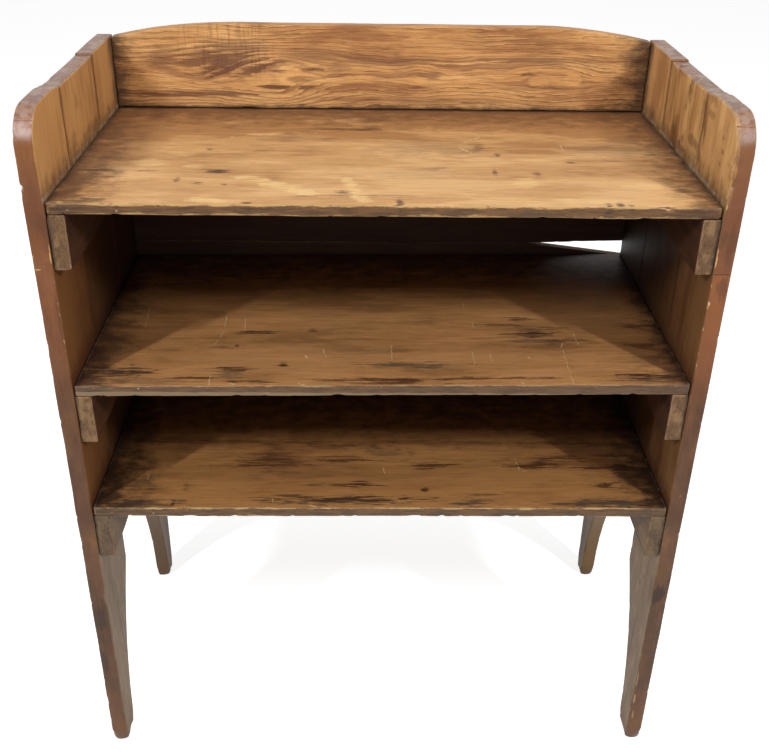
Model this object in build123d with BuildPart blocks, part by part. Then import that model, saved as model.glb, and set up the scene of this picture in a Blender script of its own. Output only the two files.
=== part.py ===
from build123d import *
import os

# Bucket bench: three pine shelves on cleats between two ends, each end of three upright boards
# cut out below to leave two legs, with a low arched board along the back of the top shelf.
#
# Frame: millimetres, +Z up, the open front towards -Y. The origin is on the floor, under the
# middle of the bench's width and depth.

os.makedirs("parts", exist_ok=True)

# ---- Ends: three upright boards each, side by side ------------------------------------------
bench_width = 780.0             # over the outer faces of the two ends
bench_depth = 414.0             # with the boards over the back
end_thickness = 22.0
front_board_width = 120.0       # the middle board takes up what these two leave
back_board_width = 122.0
front_board_height = 934.0
middle_board_height = 930.0
back_board_height = 932.0
corner_radius = 42.0            # rounded top corner at the front
board_seam = 0.4                # open joint between neighbouring boards

# ---- Legs: what is left of the front and back boards below the cut-out ----------------------
front_foot_width = 45.0
back_foot_width = 34.0
leg_shoulder_height = 252.0     # where a leg has widened to the full width of its board
cutout_height = 318.0           # lower end of the middle board
foot_chamfer = 3.0

# ---- Shelves, by the height of their upper faces --------------------------------------------
shelf_thickness = 14.0
top_shelf_height = 836.0
middle_shelf_height = 608.0     # at its left end
middle_shelf_rise = 6.0         # the right end lies this much higher
bottom_shelf_height = 430.0
shelf_end_gap = 1.5             # open joint between a shelf and the end beside it
shelf_back_gap = 0.5            # between a shelf and the boards behind it

# ---- Cleats: one under each end of each shelf -----------------------------------------------
cleat_thickness = 21.0
cleat_height = 66.0
cleat_setback = 0.5             # behind the front edge of the ends

# ---- Arched board that stands on the back of the top shelf ----------------------------------
backsplash_thickness = 17.0
backsplash_end_height = 95.0    # above the top shelf, beside the ends
backsplash_rise = 18.5          # how much higher it is along the middle
backsplash_flat = 400.0         # length of the level middle stretch
backsplash_end_gap = 0.8

# ---- Boards nailed over the back ------------------------------------------------------------
cover_thickness = 14.0
cover_inset = 2.0               # how far their ends stay inside the outer faces of the ends
cover_joint_above_shelf = 22.0  # level joint between the two boards, over the middle shelf
cover_overlap = 10.0            # past the top shelf's upper face and the bottom shelf's lower face
cover_joint_gap = 0.6
taper_start = 225.0             # to the right of the middle, where the two edges part
upper_taper = 5.0               # how much the upper board's edge climbs from there to its end
lower_taper = 21.0              # how much the lower board's edge drops from there to its end

# ---- Cut nails ------------------------------------------------------------------------------
nail_length = 38.0
nail_shank = 3.2
nail_taper = 1.0                # degrees on each side
nail_head_length = 6.4
nail_head_width = 4.6
nail_head_thickness = 1.4
nail_clearance = 0.1
nail_edge_distance = 30.0       # from the edge of a board
cover_nail_spacing = 240.0      # along the shelves' back edges

arris = 1.2                     # worn rounding of the boards' edges
cleat_arris = 1.6

# ---- Places worked out from the sizes above -------------------------------------------------
end_depth = bench_depth - cover_thickness
middle_board_width = end_depth - front_board_width - back_board_width
front_y = -bench_depth / 2
first_seam_y = front_y + front_board_width
second_seam_y = first_seam_y + middle_board_width
ends_back_y = front_y + end_depth
end_starts = {"left": -bench_width / 2, "right": bench_width / 2 - end_thickness}
inner_x = bench_width / 2 - end_thickness
shelf_length = 2 * (inner_x - shelf_end_gap)
cleat_length = end_depth - cleat_setback - shelf_back_gap


def middle_shelf_top(x):
    """Height of the sloping middle shelf's upper face at a distance right of the middle."""
    return middle_shelf_height + middle_shelf_rise * (x + inner_x) / (2 * inner_x)


def shelf_seats(side):
    """Heights of the lower faces of the shelves where they rest on one side's cleats."""
    lowest_x = -inner_x if side == "left" else inner_x - cleat_thickness
    return {
        "top": top_shelf_height - shelf_thickness,
        "middle": middle_shelf_top(lowest_x) - shelf_thickness,
        "bottom": bottom_shelf_height - shelf_thickness,
    }


def shelf_centres(side):
    """Heights of the middle of the shelves' thickness at one end."""
    end_x = -inner_x if side == "left" else inner_x
    tops = (top_shelf_height, middle_shelf_top(end_x), bottom_shelf_height)
    return [top - shelf_thickness / 2 for top in tops]


# ---- Nails and the holes they sit in --------------------------------------------------------
def driven_nails(face, points):
    """Cut nails driven into a face at points on it: flush heads and tapering square shanks."""
    with BuildPart() as nails:
        with BuildSketch(face):
            with Locations(*points):
                Rectangle(nail_head_length, nail_head_width)
        extrude(amount=-nail_head_thickness)
        with BuildSketch(face.offset(-nail_head_thickness)):
            with Locations(*points):
                Rectangle(nail_shank, nail_shank)
        extrude(amount=-(nail_length - nail_head_thickness), taper=nail_taper)
    return nails.part


def nail_holes(face, points):
    """The holes that such nails leave, a little wider than the nails all round."""
    with BuildPart() as holes:
        with BuildSketch(face):
            with Locations(*points):
                Rectangle(nail_head_length + 2 * nail_clearance, nail_head_width + 2 * nail_clearance)
        extrude(amount=-(nail_head_thickness + nail_clearance))
        with BuildSketch(face):
            with Locations(*points):
                Rectangle(nail_shank + 2 * nail_clearance, nail_shank + 2 * nail_clearance)
        extrude(amount=-(nail_length + nail_clearance))
    return holes.part


def outer_face(side):
    """Outer face of one end, with its x axis level and its y axis up."""
    sign = -1 if side == "left" else 1
    return Plane(origin=(sign * bench_width / 2, 0, 0), x_dir=(0, sign, 0), z_dir=(sign, 0, 0))


def on_outer_face(side, depths, heights):
    """Points on an outer face for every pair of a place along the depth and a height."""
    sign = -1 if side == "left" else 1
    return [(sign * y, z) for z in heights for y in depths]


shelf_nail_depths = [
    front_y + front_board_width / 2,
    first_seam_y + middle_board_width / 2,
    ends_back_y - back_board_width / 2,
]
cleat_nail_depths = [
    front_y + nail_edge_distance,
    first_seam_y + nail_edge_distance,
    second_seam_y - nail_edge_distance,
    ends_back_y - nail_edge_distance,
]
backsplash_nail_depths = [ends_back_y - backsplash_thickness / 2]
backsplash_nail_heights = [
    top_shelf_height + nail_edge_distance,
    top_shelf_height + backsplash_end_height - nail_edge_distance,
]

shelf_points = {}
cleat_points = {}
backsplash_points = {}
for side in end_starts:
    cleat_centres = [seat - cleat_height / 2 for seat in shelf_seats(side).values()]
    shelf_points[side] = on_outer_face(side, shelf_nail_depths, shelf_centres(side))
    cleat_points[side] = on_outer_face(side, cleat_nail_depths, cleat_centres)
    backsplash_points[side] = on_outer_face(side, backsplash_nail_depths, backsplash_nail_heights)

# The back boards are nailed to the ends' back edges and to the top and bottom shelves.
cover_face = Plane(origin=(0, ends_back_y + cover_thickness, 0), x_dir=(-1, 0, 0), z_dir=(0, 1, 0))
cover_joint_height = middle_shelf_height + cover_joint_above_shelf
cover_top = top_shelf_height + cover_overlap
cover_bottom = bottom_shelf_height - shelf_thickness - cover_overlap
end_edge_x = bench_width / 2 - end_thickness / 2
cover_nail_heights = [
    cover_bottom + nail_edge_distance,
    (cover_bottom + cover_joint_height) / 2,
    cover_joint_height - lower_taper - nail_edge_distance,
    cover_joint_height + nail_edge_distance,
    (cover_joint_height + cover_top) / 2,
    cover_top - nail_edge_distance,
]
cover_points = [(x, z) for x in (-end_edge_x, end_edge_x) for z in cover_nail_heights]
for shelf_top in (top_shelf_height, bottom_shelf_height):
    for step in (-1, 0, 1):
        cover_points.append((step * cover_nail_spacing, shelf_top - shelf_thickness / 2))

end_holes = {}
for side in end_starts:
    points = shelf_points[side] + cleat_points[side] + backsplash_points[side]
    end_holes[side] = nail_holes(outer_face(side), points)
cover_holes = nail_holes(cover_face, cover_points)


def nails_in_both_ends(points_by_side):
    """One group of nails driven in from the outer faces of both ends."""
    left_nails = driven_nails(outer_face("left"), points_by_side["left"])
    right_nails = driven_nails(outer_face("right"), points_by_side["right"])
    with BuildPart() as nails:
        add(left_nails)
        add(right_nails)
    return nails


shelf_nails = nails_in_both_ends(shelf_points)
shelf_nails.part.label = "shelf_nails"
export_step(shelf_nails.part, "parts/shelf_nails.step")

cleat_nails = nails_in_both_ends(cleat_points)
cleat_nails.part.label = "cleat_nails"
export_step(cleat_nails.part, "parts/cleat_nails.step")

backsplash_nails = nails_in_both_ends(backsplash_points)
backsplash_nails.part.label = "backsplash_nails"
export_step(backsplash_nails.part, "parts/backsplash_nails.step")

back_nails_solids = driven_nails(cover_face, cover_points)
with BuildPart() as back_nails:
    add(back_nails_solids)
back_nails.part.label = "back_nails"
export_step(back_nails.part, "parts/back_nails.step")


# ---- End boards -----------------------------------------------------------------------------
for side, start_x in end_starts.items():
    # Front board: straight front edge, rounded top corner, and a leg that narrows behind.
    rear_y = first_seam_y - board_seam / 2
    with BuildPart() as front_board:
        with BuildSketch(Plane.YZ.offset(start_x)):
            with BuildLine():
                Polyline(
                    (front_y + front_foot_width, 0),
                    (front_y, 0),
                    (front_y, front_board_height - corner_radius),
                )
                JernArc(
                    start=(front_y, front_board_height - corner_radius),
                    tangent=(0, 1),
                    radius=corner_radius,
                    arc_size=-90,
                )
                Polyline(
                    (front_y + corner_radius, front_board_height),
                    (rear_y, front_board_height),
                    (rear_y, leg_shoulder_height),
                )
                TangentArc(
                    (front_y + front_foot_width, 0),
                    (rear_y, leg_shoulder_height),
                    tangent=(0, 1),
                )
            make_face()
        extrude(amount=end_thickness)
        chamfer(front_board.faces().sort_by(Axis.Z)[0].edges(), length=foot_chamfer)
        fillet(front_board.edges().filter_by(Axis.Z).group_by(Axis.Y)[0], radius=arris)
        add(end_holes[side], mode=Mode.SUBTRACT)
    front_board.part.label = f"{side}_front_board"
    export_step(front_board.part, f"parts/{side}_front_board.step")

    # Middle board: a plain board that ends above the cut-out.
    with BuildPart() as middle_board:
        with BuildSketch(Plane.YZ.offset(start_x)):
            with Locations((first_seam_y + board_seam / 2, cutout_height)):
                Rectangle(
                    middle_board_width - board_seam,
                    middle_board_height - cutout_height,
                    align=(Align.MIN, Align.MIN),
                )
        extrude(amount=end_thickness)
        add(end_holes[side], mode=Mode.SUBTRACT)
    middle_board.part.label = f"{side}_middle_board"
    export_step(middle_board.part, f"parts/{side}_middle_board.step")

    # Back board: straight back edge and a leg that narrows in front.
    fore_y = second_seam_y + board_seam / 2
    with BuildPart() as back_board:
        with BuildSketch(Plane.YZ.offset(start_x)):
            with BuildLine():
                Polyline(
                    (ends_back_y - back_foot_width, 0),
                    (ends_back_y, 0),
                    (ends_back_y, back_board_height),
                    (fore_y, back_board_height),
                    (fore_y, leg_shoulder_height),
                )
                TangentArc(
                    (ends_back_y - back_foot_width, 0),
                    (fore_y, leg_shoulder_height),
                    tangent=(0, 1),
                )
            make_face()
        extrude(amount=end_thickness)
        chamfer(back_board.faces().sort_by(Axis.Z)[0].edges(), length=foot_chamfer)
        add(end_holes[side], mode=Mode.SUBTRACT)
        add(cover_holes, mode=Mode.SUBTRACT)
    back_board.part.label = f"{side}_back_board"
    export_step(back_board.part, f"parts/{side}_back_board.step")


# ---- Cleats ---------------------------------------------------------------------------------
for side in end_starts:
    cleat_start_x = -inner_x if side == "left" else inner_x - cleat_thickness
    for shelf_name, seat in shelf_seats(side).items():
        with BuildPart() as cleat:
            with BuildSketch(Plane.XZ.offset(-(front_y + cleat_setback))):
                with Locations((cleat_start_x, seat)):
                    Rectangle(cleat_thickness, cleat_height, align=(Align.MIN, Align.MAX))
            extrude(amount=-cleat_length)
            fillet(cleat.faces().sort_by(Axis.Y)[0].edges(), radius=cleat_arris)
            add(end_holes[side], mode=Mode.SUBTRACT)
        cleat.part.label = f"{side}_{shelf_name}_cleat"
        export_step(cleat.part, f"parts/{side}_{shelf_name}_cleat.step")


# ---- Shelves --------------------------------------------------------------------------------
end_tops = {
    "top": (top_shelf_height, top_shelf_height),
    "middle": (middle_shelf_top(-shelf_length / 2), middle_shelf_top(shelf_length / 2)),
    "bottom": (bottom_shelf_height, bottom_shelf_height),
}
for shelf_name, (left_top, right_top) in end_tops.items():
    with BuildPart() as shelf:
        with BuildSketch(Plane.XZ.offset(-front_y)):
            with BuildLine():
                Polyline(
                    (-shelf_length / 2, left_top),
                    (shelf_length / 2, right_top),
                    (shelf_length / 2, right_top - shelf_thickness),
                    (-shelf_length / 2, left_top - shelf_thickness),
                    close=True,
                )
            make_face()
        extrude(amount=-(end_depth - shelf_back_gap))
        fillet(shelf.faces().sort_by(Axis.Y)[0].edges(), radius=arris)
        add(end_holes["left"], mode=Mode.SUBTRACT)
        add(end_holes["right"], mode=Mode.SUBTRACT)
        add(cover_holes, mode=Mode.SUBTRACT)
    shelf.part.label = f"{shelf_name}_shelf"
    export_step(shelf.part, f"parts/{shelf_name}_shelf.step")


# ---- Arched board ---------------------------------------------------------------------------
splash_half = inner_x - backsplash_end_gap
splash_shoulder = top_shelf_height + backsplash_end_height
splash_crown = splash_shoulder + backsplash_rise
with BuildPart() as backsplash:
    with BuildSketch(Plane.XZ.offset(-ends_back_y)):
        with BuildLine():
            Polyline(
                (-splash_half, splash_shoulder),
                (-splash_half, top_shelf_height),
                (splash_half, top_shelf_height),
                (splash_half, splash_shoulder),
            )
            TangentArc(
                (backsplash_flat / 2, splash_crown),
                (splash_half, splash_shoulder),
                tangent=(1, 0),
            )
            Line((backsplash_flat / 2, splash_crown), (-backsplash_flat / 2, splash_crown))
            TangentArc(
                (-backsplash_flat / 2, splash_crown),
                (-splash_half, splash_shoulder),
                tangent=(-1, 0),
            )
        make_face()
    extrude(amount=backsplash_thickness)
    add(end_holes["left"], mode=Mode.SUBTRACT)
    add(end_holes["right"], mode=Mode.SUBTRACT)
backsplash.part.label = "backsplash"
export_step(backsplash.part, "parts/backsplash.step")


# ---- Boards over the back -------------------------------------------------------------------
cover_half = bench_width / 2 - cover_inset
with BuildPart() as upper_back_board:
    with BuildSketch(Plane.XZ.offset(-ends_back_y)):
        with BuildLine():
            Polyline(
                (-cover_half, cover_top),
                (cover_half, cover_top),
                (cover_half, cover_joint_height + upper_taper),
                (taper_start, cover_joint_height),
                (-cover_half, cover_joint_height),
                close=True,
            )
        make_face()
    extrude(amount=-cover_thickness)
    add(cover_holes, mode=Mode.SUBTRACT)
upper_back_board.part.label = "upper_back_board"
export_step(upper_back_board.part, "parts/upper_back_board.step")

lower_edge = cover_joint_height - cover_joint_gap
with BuildPart() as lower_back_board:
    with BuildSketch(Plane.XZ.offset(-ends_back_y)):
        with BuildLine():
            Polyline(
                (-cover_half, cover_bottom),
                (cover_half, cover_bottom),
                (cover_half, lower_edge - lower_taper),
                (taper_start, lower_edge),
                (-cover_half, lower_edge),
                close=True,
            )
        make_face()
    extrude(amount=-cover_thickness)
    add(cover_holes, mode=Mode.SUBTRACT)
lower_back_board.part.label = "lower_back_board"
export_step(lower_back_board.part, "parts/lower_back_board.step")
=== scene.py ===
import itertools
import math

import bpy
import numpy as np
from mathutils import Matrix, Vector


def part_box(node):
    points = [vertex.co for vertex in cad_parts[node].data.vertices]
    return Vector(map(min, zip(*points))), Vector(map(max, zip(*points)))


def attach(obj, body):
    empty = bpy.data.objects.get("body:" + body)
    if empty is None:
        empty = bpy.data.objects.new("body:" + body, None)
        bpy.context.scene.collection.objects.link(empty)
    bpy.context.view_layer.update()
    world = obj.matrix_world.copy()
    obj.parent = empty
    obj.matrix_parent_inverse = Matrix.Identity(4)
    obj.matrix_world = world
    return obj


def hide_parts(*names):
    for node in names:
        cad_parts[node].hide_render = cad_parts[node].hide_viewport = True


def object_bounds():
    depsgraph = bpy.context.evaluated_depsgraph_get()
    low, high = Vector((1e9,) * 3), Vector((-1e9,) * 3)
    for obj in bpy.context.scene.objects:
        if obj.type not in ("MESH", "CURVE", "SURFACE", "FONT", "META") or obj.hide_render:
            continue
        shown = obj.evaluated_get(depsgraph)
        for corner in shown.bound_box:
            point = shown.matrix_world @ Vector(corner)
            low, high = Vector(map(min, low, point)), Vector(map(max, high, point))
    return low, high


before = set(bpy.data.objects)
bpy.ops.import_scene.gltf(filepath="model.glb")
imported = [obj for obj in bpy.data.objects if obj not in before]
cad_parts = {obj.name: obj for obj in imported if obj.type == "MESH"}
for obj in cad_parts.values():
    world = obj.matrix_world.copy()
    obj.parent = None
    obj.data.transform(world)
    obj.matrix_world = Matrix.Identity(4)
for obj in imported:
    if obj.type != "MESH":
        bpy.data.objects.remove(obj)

# An old pine bucket bench: worn boards with rounded arrises, bare and waxed inside, with the
# remains of a thin red-brown paint on the outer faces and the edges of its two ends.
# Everything is in metres, with +Z up and the open front towards -Y.

cad_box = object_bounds()
scene = bpy.context.scene
MM = 0.001

# ---- Sizes of the shaped boards, of the dents round the nails and of the surface's waves ----
corner_radius = 42 * MM
front_foot_width = 45 * MM
back_foot_width = 34 * MM
leg_shoulder = 252 * MM
splash_flat = 400 * MM
splash_rise = 18.5 * MM
taper_start = 225 * MM
upper_taper = 5 * MM
lower_taper = 21 * MM
head_reach = 12 * MM
dent_reach = 9 * MM
dent_depth = 0.8 * MM
wave_height = 0.5 * MM
chip_rows = (-6, -3.5, -1.5, 0, 1.5, 3.5, 6)
nail_rows = (-8, -5, -2.5, 0, 2.5, 5, 8)
nail_range = 60 * MM

# ---- Heights at which the looks of the ends change ----
bay_top = 0.82
bay_bottom = 0.415
bare_below = 0.43
paint_line = 0.757

front_y = cad_box[0][1]
outer_x = cad_box[1][0]
end_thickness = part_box("left_middle_board")[1].x + outer_x
inner_x = outer_x - end_thickness
shelf_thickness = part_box("top_shelf")[1].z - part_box("top_shelf")[0].z
shelf_tops = {name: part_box(f"{name}_shelf")[1].z for name in ("top", "middle", "bottom")}
splash_face_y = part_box("backsplash")[0].y
cover_face_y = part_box("upper_back_board")[0].y
seams_y = (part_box("left_middle_board")[0].y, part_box("left_middle_board")[1].y)


# ---- Shapes -------------------------------------------------------------------------------
def bumps(points, pitch, seed):
    """Smooth random values from 0 to 1, in bumps about one pitch across."""
    cells = 32
    table = np.random.default_rng(seed).random((cells, cells, cells))
    place = points / pitch
    cell = np.floor(place).astype(int)
    part = place - cell
    part = part * part * (3 - 2 * part)
    total = np.zeros(len(points))
    for corner in itertools.product((0, 1), repeat=3):
        weight = np.prod(np.where(corner, part, 1 - part), axis=1)
        near = (cell + corner) % cells
        total += weight * table[near[:, 0], near[:, 1], near[:, 2]]
    return total


def fade(values, start, end):
    """0 before start, 1 after end, and smooth between them."""
    part = np.clip((values - start) / (end - start), 0, 1)
    return part * part * (3 - 2 * part)


def rows(length, step, extra=()):
    """Places along a board's side: close together near both ends, about one step apart between."""
    close = np.array([0, 0.5, 1.1, 1.8, 2.8, 4.2]) * MM
    count = max(2, round((length - 2 * close[-1]) / step) + 1)
    middle = np.linspace(close[-1], length - close[-1], count)
    places = np.concatenate([close, middle, length - close, np.array(extra, float)])
    places = places[(places >= 0) & (places <= length)]
    return np.unique(np.round(places, 5))


def shell(rows_x, rows_y, rows_z):
    """The closed surface of a box, cut along the given rows: its points and its faces."""
    counts = [len(rows_x), len(rows_y), len(rows_z)]
    index = np.indices(counts)
    last = np.array(counts)[:, None, None, None] - 1
    outside = ((index == 0) | (index == last)).any(0)
    number = np.full(counts, -1)
    number[outside] = np.arange(outside.sum())
    points = np.stack(np.meshgrid(rows_x, rows_y, rows_z, indexing="ij"), -1)[outside]
    faces = []
    for axis in range(3):
        for end in (0, -1):
            sheet = np.take(number, end, axis)
            corners = [sheet[:-1, :-1], sheet[1:, :-1], sheet[1:, 1:], sheet[:-1, 1:]]
            quads = np.stack(corners, -1).reshape(-1, 4)
            if (end == 0) != (axis == 1):
                quads = quads[:, ::-1]
            faces.append(quads)
    return points, np.concatenate(faces)


def move_edge(points, size, axis, amount, low=False):
    """Moves one edge of a board along an axis and leaves its other edge where it is."""
    keep = 5 * MM
    share = np.clip((points[:, axis] - keep) / (size[axis] - 2 * keep), 0, 1)
    points[:, axis] += amount * ((1 - share) if low else share)


def arc_drop(distance, half_chord, height):
    """How far an arc that starts along a line has left it, when it is height off at half_chord."""
    radius = (half_chord**2 + height**2) / (2 * height)
    along = np.clip(distance, 0, half_chord)
    return radius - np.sqrt(radius**2 - along**2)


def leg_width(heights, foot_width, board_width):
    """Width of a leg: an arc that starts upright at the foot and ends at the board's width."""
    spread = board_width - foot_width
    return foot_width + arc_drop(heights, leg_shoulder, spread)


def round_top_corner(points, size):
    """Turns the square front corner at the top of a board into a quarter circle."""
    back = corner_radius - points[:, 1]
    up = points[:, 2] - (size[2] - corner_radius)
    inside = (back > 0) & (up > 0)
    back, up = back[inside], up[inside]
    shrink = np.maximum(back, up) / np.hypot(back, up)
    points[inside, 1] = corner_radius - back * shrink
    points[inside, 2] = size[2] - corner_radius + up * shrink


def shape_front_board(points, size):
    width = leg_width(points[:, 2], front_foot_width, size[1])
    move_edge(points, size, 1, width - size[1])
    worn_seam = 2.6 * MM * fade(points[:, 1], size[1] - 30 * MM, size[1] - 2 * MM)
    move_edge(points, size, 2, -worn_seam)
    round_top_corner(points, size)


def shape_back_board(points, size):
    width = leg_width(points[:, 2], back_foot_width, size[1])
    move_edge(points, size, 1, size[1] - width, low=True)


def shape_backsplash(points, size):
    from_middle = np.abs(points[:, 0] - size[0] / 2) - splash_flat / 2
    drop = arc_drop(from_middle, (size[0] - splash_flat) / 2, splash_rise)
    move_edge(points, size, 2, -drop)


def shape_middle_shelf(points, size):
    rise = size[2] - shelf_thickness
    points[:, 2] *= shelf_thickness / size[2]
    points[:, 2] += rise * points[:, 0] / size[0]


def taper(points, size):
    """0 up to where the joint between the back boards opens, and 1 at their right end."""
    half = size[0] / 2
    return np.clip((points[:, 0] - half - taper_start) / (half - taper_start), 0, 1)


def shape_upper_back_board(points, size):
    move_edge(points, size, 2, upper_taper * taper(points, size), low=True)


def shape_lower_back_board(points, size):
    move_edge(points, size, 2, -lower_taper * taper(points, size))


def nail_places(node, axis):
    """The middle of each nail head of a node, from the heads' corners on the outer faces."""
    points = np.array([v.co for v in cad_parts[node].data.vertices])
    outermost = np.abs(points[:, axis]).max()
    heads = []
    for point in points[np.abs(points[:, axis]) > outermost - 0.1 * MM]:
        for head in heads:
            if np.linalg.norm(head[0] - point) < head_reach:
                head.append(point)
                break
        else:
            heads.append([point])
    return [np.mean([np.min(head, 0), np.max(head, 0)], 0) for head in heads]


end_nails = [
    place for node in ("shelf_nails", "cleat_nails", "backsplash_nails") for place in nail_places(node, 0)
]
cover_nails = nail_places("back_nails", 1)


def from_nails(points, low, nails):
    """Distance from each point to the nearest nail head, up to a limit."""
    nearest = np.full(len(points), nail_range)
    for nail in nails:
        nearest = np.minimum(nearest, np.linalg.norm(points - (nail - low), axis=1))
    return nearest


def sink_round_nails(points, low, nails, axis):
    """Presses the wood in a little round each nail head, so that the head shows."""
    for nail in nails:
        place = nail - low
        beside = [other for other in range(3) if other != axis]
        distance = np.linalg.norm(points[:, beside] - place[beside], axis=1)
        near = (distance < dent_reach) & (np.abs(points[:, axis] - place[axis]) < 3 * MM)
        depth = dent_depth * (1 - fade(distance[near], dent_reach / 2, dent_reach))
        points[near, axis] -= np.sign(nail[axis]) * depth


def rows_near(places, low, size, axis, offsets):
    """Extra rows through the given places of one board, so that what is there comes out."""
    extra = []
    for place in places:
        local = np.array(place) - low
        if all(-head_reach < local[k] < size[k] + head_reach for k in range(3)):
            extra += [local[axis] + offset * MM for offset in offsets]
    return extra


def make_board(
    node, finish, reshape=None, steps=(5, 5, 5), arris=1.5, wear=None, chips=(), nails=(),
    nail_axis=0, seed=1,
):
    """A worn board in place of a CAD board: rounded arrises, chips and a slightly wavy surface.

    Steps and arris are in millimetres. A chip is its place, its reach and its depth."""
    low, high = (np.array(corner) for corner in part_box(node))
    size = high - low
    cuts = []
    for axis in range(3):
        extra = rows_near([chip[0] for chip in chips], low, size, axis, chip_rows)
        if axis != nail_axis:
            extra += rows_near(nails, low, size, axis, nail_rows)
        cuts.append(rows(size[axis], steps[axis] * MM, extra))
    points, faces = shell(*cuts)
    to_sides = np.minimum(points, size - points)
    near_arris = np.sort(to_sides, axis=1)[:, 1]
    if reshape is shape_front_board:
        rounded = (points[:, 1] < corner_radius) & (points[:, 2] > size[2] - corner_radius)
        near_arris[rounded] = np.maximum(to_sides[:, 0], to_sides[:, 1:].min(axis=1))[rounded]
    near_nail = from_nails(points, low, nails)

    radius = arris * MM * (0.55 + 0.9 * bumps(points, 35 * MM, seed))
    radius += 1.7 * MM * fade(bumps(points, 9 * MM, seed + 1), 0.74, 0.9)
    if wear is not None:
        radius *= wear(points, size)
    radius = np.minimum(radius, size.min() * 0.42)[:, None]
    core = np.clip(points, radius, size - radius)
    out = points - core
    out /= np.linalg.norm(out, axis=1, keepdims=True)
    points = core + out * radius
    for place, reach, depth in chips:
        distance = np.linalg.norm(points - (np.array(place) - low), axis=1)
        distance *= 0.75 + 0.6 * bumps(points, 4 * MM, seed + 7)
        points -= out * (depth * fade(distance, reach, 0.25 * reach))[:, None]

    for axis in range(3):
        wave = wave_height * bumps(points, 60 * MM, seed + 2 + axis)
        points[:, axis] += wave * (1 - 2 * points[:, axis] / size[axis])
    sink_round_nails(points, low, nails, nail_axis)
    if reshape:
        reshape(points, size)
    points += low

    mesh = bpy.data.meshes.new(f"{node}_wood")
    mesh.from_pydata(points.tolist(), [], faces.tolist())
    mesh.shade_smooth()
    mesh.attributes.new("from_arris", "FLOAT", "POINT").data.foreach_set("value", near_arris)
    mesh.attributes.new("from_nail", "FLOAT", "POINT").data.foreach_set("value", near_nail)
    mesh.materials.append(finish)
    board = bpy.data.objects.new(f"{node}_wood", mesh)
    scene.collection.objects.link(board)
    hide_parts(node)
    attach(board, "root")
    return board


# ---- Writing finishes ---------------------------------------------------------------------
class Recipe:
    """Writes a node tree as formulas: each call adds a node and gives back what it puts out."""

    def __init__(self, tree):
        self.tree = tree

    def plug(self, made, values):
        for key, value in values.items():
            if isinstance(value, bpy.types.NodeSocket):
                self.tree.links.new(value, made.inputs[key])
            else:
                made.inputs[key].default_value = value
        return made

    def node(self, kind, inputs, **settings):
        made = self.tree.nodes.new("ShaderNode" + kind)
        for name, value in settings.items():
            setattr(made, name, value)
        return self.plug(made, inputs)

    def math(self, operation, *values, clamp=False):
        made = self.node("Math", dict(enumerate(values)), operation=operation, use_clamp=clamp)
        return made.outputs[0]

    def chain(self, operation, values):
        total = values[0]
        for value in values[1:]:
            total = self.math(operation, total, value)
        return total

    def plus(self, *values):
        return self.chain("ADD", values)

    def minus(self, first, second):
        return self.math("SUBTRACT", first, second)

    def times(self, *values):
        return self.chain("MULTIPLY", values)

    def most(self, *values):
        return self.chain("MAXIMUM", values)

    def away(self, value, level):
        return self.math("ABSOLUTE", self.minus(value, level))

    def vector(self, operation, *values):
        made = self.node("VectorMath", dict(enumerate(values)), operation=operation)
        return made.outputs["Value" if operation in ("LENGTH", "DOT_PRODUCT") else "Vector"]

    def fade(self, value, start, end):
        made = self.node("MapRange", {0: value, 1: start, 2: end}, interpolation_type="SMOOTHSTEP")
        return made.outputs[0]

    def mix(self, share, first, second, blend="MIX"):
        made = self.node("Mix", {0: share, 6: first, 7: second}, data_type="RGBA", blend_type=blend)
        return made.outputs[2]

    def tint(self, colour, shade, *masks):
        """Lays a shade over a colour, as strongly as all its masks together say."""
        return self.mix(self.times(*masks), colour, shade)

    def noise(self, place, density, detail=2.0, roughness=0.5, colour=False):
        """Soft random values about 0.5, with so many bumps to the metre along each axis."""
        inputs = {"Vector": self.vector("MULTIPLY", place, density), "Scale": 1.0}
        made = self.node("TexNoise", inputs | {"Detail": detail, "Roughness": roughness})
        return made.outputs[1 if colour else 0]

    def waver(self, *values):
        """Soft random values about 0; see noise."""
        return self.minus(self.noise(*values), 0.5)

    def ragged(self, value, rough, swing, start, end):
        """A fade whose border is shifted to and fro by rough values."""
        return self.fade(self.plus(value, self.times(rough, swing)), start, end)

    def parts(self, vector):
        return self.node("SeparateXYZ", {0: vector}).outputs

    def join(self, x, y, z):
        return self.node("CombineXYZ", {0: x, 1: y, 2: z}).outputs[0]

    def attribute(self, name):
        return self.node("Attribute", {}, attribute_name=name).outputs["Fac"]

    def normal(self):
        return self.parts(self.node("NewGeometry", {}).outputs["Normal"])

    def use(self, group, **inputs):
        made = self.tree.nodes.new("ShaderNodeGroup")
        made.node_tree = group
        return self.plug(made, inputs).outputs


SOCKETS = {"number": "NodeSocketFloat", "place": "NodeSocketVector", "colour": "NodeSocketColor"}


def effect(name, inputs, outputs):
    """An empty shader node group: the group, its recipe, what it is given, and a way to put out."""
    group = bpy.data.node_groups.new(name, "ShaderNodeTree")
    for direction, sockets in (("INPUT", inputs), ("OUTPUT", outputs)):
        for socket, kind in sockets.items():
            group.interface.new_socket(socket, in_out=direction, socket_type=SOCKETS[kind])
    recipe = Recipe(group)
    given = group.nodes.new("NodeGroupInput").outputs
    made = group.nodes.new("NodeGroupOutput")
    return group, recipe, given, lambda **values: recipe.plug(made, values)


def rgb(red, green, blue):
    """A colour given in steps of 0 to 255, as a screen shows it."""
    steps = (red / 255, green / 255, blue / 255)
    return tuple(c / 12.92 if c < 0.04045 else ((c + 0.055) / 1.055) ** 2.4 for c in steps) + (1.0,)


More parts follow.
